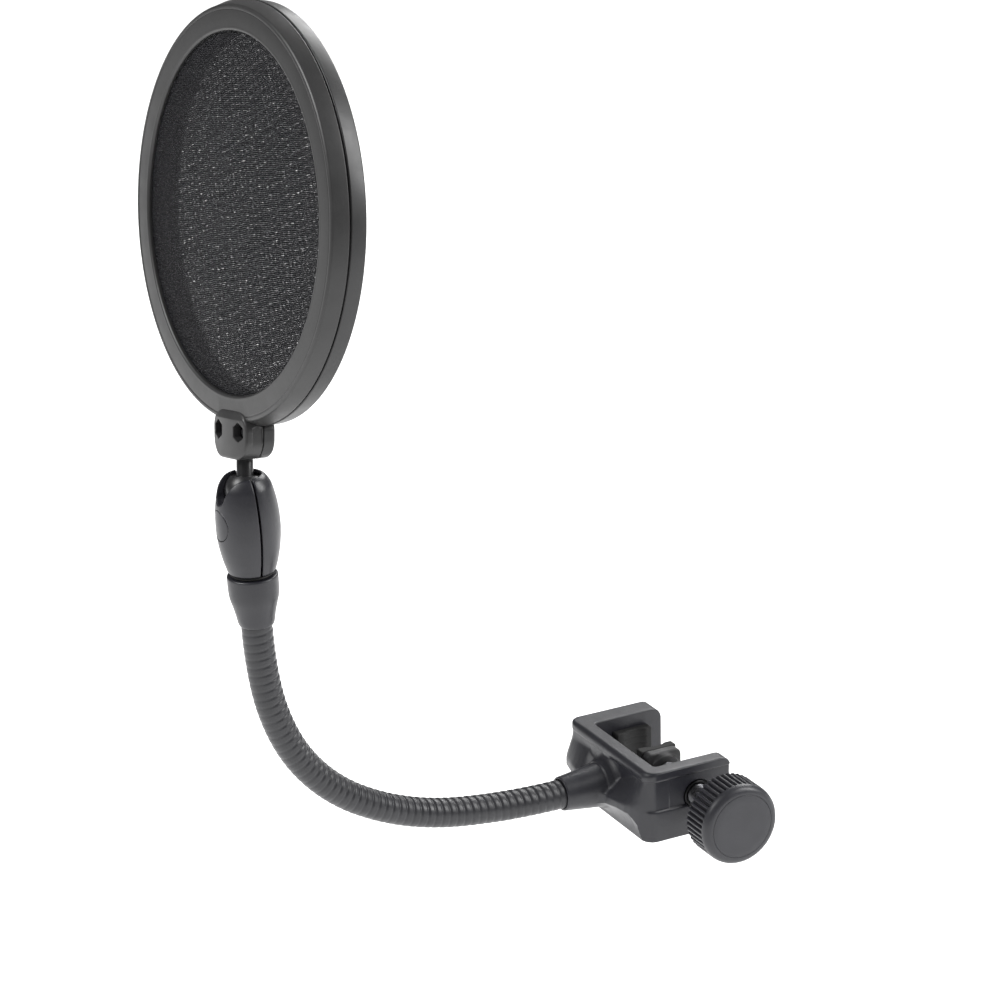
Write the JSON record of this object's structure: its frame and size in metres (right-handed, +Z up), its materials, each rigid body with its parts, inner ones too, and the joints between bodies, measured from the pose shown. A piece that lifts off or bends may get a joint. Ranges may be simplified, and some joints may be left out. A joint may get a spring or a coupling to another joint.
{
  "type": "microphone pop filter",
  "caption": "Round double-screen microphone pop filter on a bendable gooseneck arm with a screw clamp for a stand pole.",
  "frame": {"origin": "on the axis of the gripped pole, at the middle of the clamp body's height", "axes": "+Z up along the pole, +X along the clamp screw towards the knob, +Y out of the clamp's open side"},
  "size_m": [0.1395, 0.1748, 0.2967],
  "materials": {
    "hoop_front": "satin black moulding with a flat, faintly textured face",
    "hoop_rear": "satin black moulding",
    "mesh": "black nylon gauze, drum tight",
    "spacer": "matt black moulding",
    "fastener": "zinc-plated steel, darkened",
    "stem": "black coated steel",
    "socket": "fine spark texture, charcoal",
    "washer": "matt black",
    "collar": "fine spark texture, charcoal",
    "ferrule": "turned, zinc-plated",
    "neck_core": "drawn spring wire, oiled",
    "neck_sleeve": "finely ribbed, satin",
    "clamp": "glass-filled nylon with a fine spark texture, charcoal",
    "pad": "matt",
    "insert": "turned steel, blackened",
    "foot": "matt black moulding",
    "screw": "rolled thread, black-oxide finish",
    "knob": "fine spark texture, charcoal"
  },
  "bodies": {
    "clamp": {"clamp_body": "clamp", "jaw_pad": "pad", "thread_insert": "insert", "lower_ferrule": "ferrule", "neck_core_1": "neck_core", "neck_sleeve_1": "neck_sleeve"},
    "foot": {"pressure_foot": "foot", "foot_pad": "pad"},
    "knob": {"clamp_screw": "screw", "knob": "knob", "knob_cap": "knob", "foot_clip": "fastener"},
    "neck_2": {"neck_core_2": "neck_core", "neck_sleeve_2": "neck_sleeve"},
    "neck_3": {"neck_core_3": "neck_core", "neck_sleeve_3": "neck_sleeve"},
    "neck_4": {"neck_core_4": "neck_core", "neck_sleeve_4": "neck_sleeve"},
    "neck_5": {"neck_core_5": "neck_core", "neck_sleeve_5": "neck_sleeve"},
    "neck_6": {"neck_core_6": "neck_core", "neck_sleeve_6": "neck_sleeve"},
    "neck_7": {"neck_core_7": "neck_core", "neck_sleeve_7": "neck_sleeve"},
    "neck_8": {"neck_core_8": "neck_core", "neck_sleeve_8": "neck_sleeve", "upper_ferrule": "ferrule", "collar": "collar", "swivel_washer": "washer"},
    "socket": {"socket_front": "socket", "socket_rear": "socket", "socket_screw": "fastener", "socket_nut": "fastener", "socket_cap": "socket"},
    "ball": {"ball": "stem"},
    "head": {"stem": "stem", "front_hoop": "hoop_front", "rear_hoop": "hoop_rear", "front_mesh": "mesh", "rear_mesh": "mesh", "mesh_spacer": "spacer", "tab_nuts": "fastener", "tab_screws": "fastener"}
  },
  "joints": [
    {"name": "screw_travel", "type": "slide", "parent": "clamp", "child": "foot", "axis": [1, 0, 0], "range_m": [-0.0125, 0.015]},
    {"name": "knob_turn", "type": "hinge", "parent": "foot", "child": "knob", "pos_m": [0, 0, 0.0012], "axis": [1, 0, 0], "range_deg": [-3601, 4321]},
    {"name": "neck_bend_1", "type": "hinge", "parent": "clamp", "child": "neck_2", "pos_m": [0.0093, -0.05876, -0.00001], "axis": [1, 0, 0], "range_deg": [-20, 20]},
    {"name": "neck_bend_2", "type": "hinge", "parent": "neck_2", "child": "neck_3", "pos_m": [0.0093, -0.0785, 0.00224], "axis": [0, 0.1564, 0.9877], "range_deg": [-20, 20]},
    {"name": "neck_bend_3", "type": "hinge", "parent": "neck_3", "child": "neck_4", "pos_m": [0.0093, -0.09771, 0.00721], "axis": [-1, 0, 0], "range_deg": [-20, 13]},
    {"name": "neck_bend_4", "type": "hinge", "parent": "neck_4", "child": "neck_5", "pos_m": [0.0093, -0.11554, 0.01591], "axis": [0, -0.5299, -0.848], "range_deg": [-20, 20]},
    {"name": "neck_bend_5", "type": "hinge", "parent": "neck_5", "child": "neck_6", "pos_m": [0.0093, -0.1306, 0.02877], "axis": [1, 0, 0], "range_deg": [-8, 20]},
    {"name": "neck_bend_6", "type": "hinge", "parent": "neck_6", "child": "neck_7", "pos_m": [0.0093, -0.14109, 0.04555], "axis": [0, 0.9205, 0.3907], "range_deg": [-20, 20]},
    {"name": "neck_bend_7", "type": "hinge", "parent": "neck_7", "child": "neck_8", "pos_m": [0.0093, -0.14655, 0.06461], "axis": [-1, 0, 0], "range_deg": [-20, 14]},
    {"name": "socket_swivel", "type": "hinge", "parent": "neck_8", "child": "socket", "pos_m": [0.0093, -0.14933, 0.10937], "axis": [0, -0.0349, 0.9994], "continuous": true},
    {"name": "head_fold", "type": "hinge", "parent": "socket", "child": "ball", "pos_m": [0.0093, -0.15013, 0.13235], "axis": [1, 0, 0], "range_deg": [-12, 60]},
    {"name": "head_spin", "type": "hinge", "parent": "ball", "child": "head", "pos_m": [0.0093, -0.15013, 0.13235], "axis": [-0.1845, 0.1221, 0.9752], "continuous": true}
  ],
  "couplings": [
    {"joint": "knob_turn", "follows": "screw_travel", "rad_per_m": 5026.5}
  ]
}
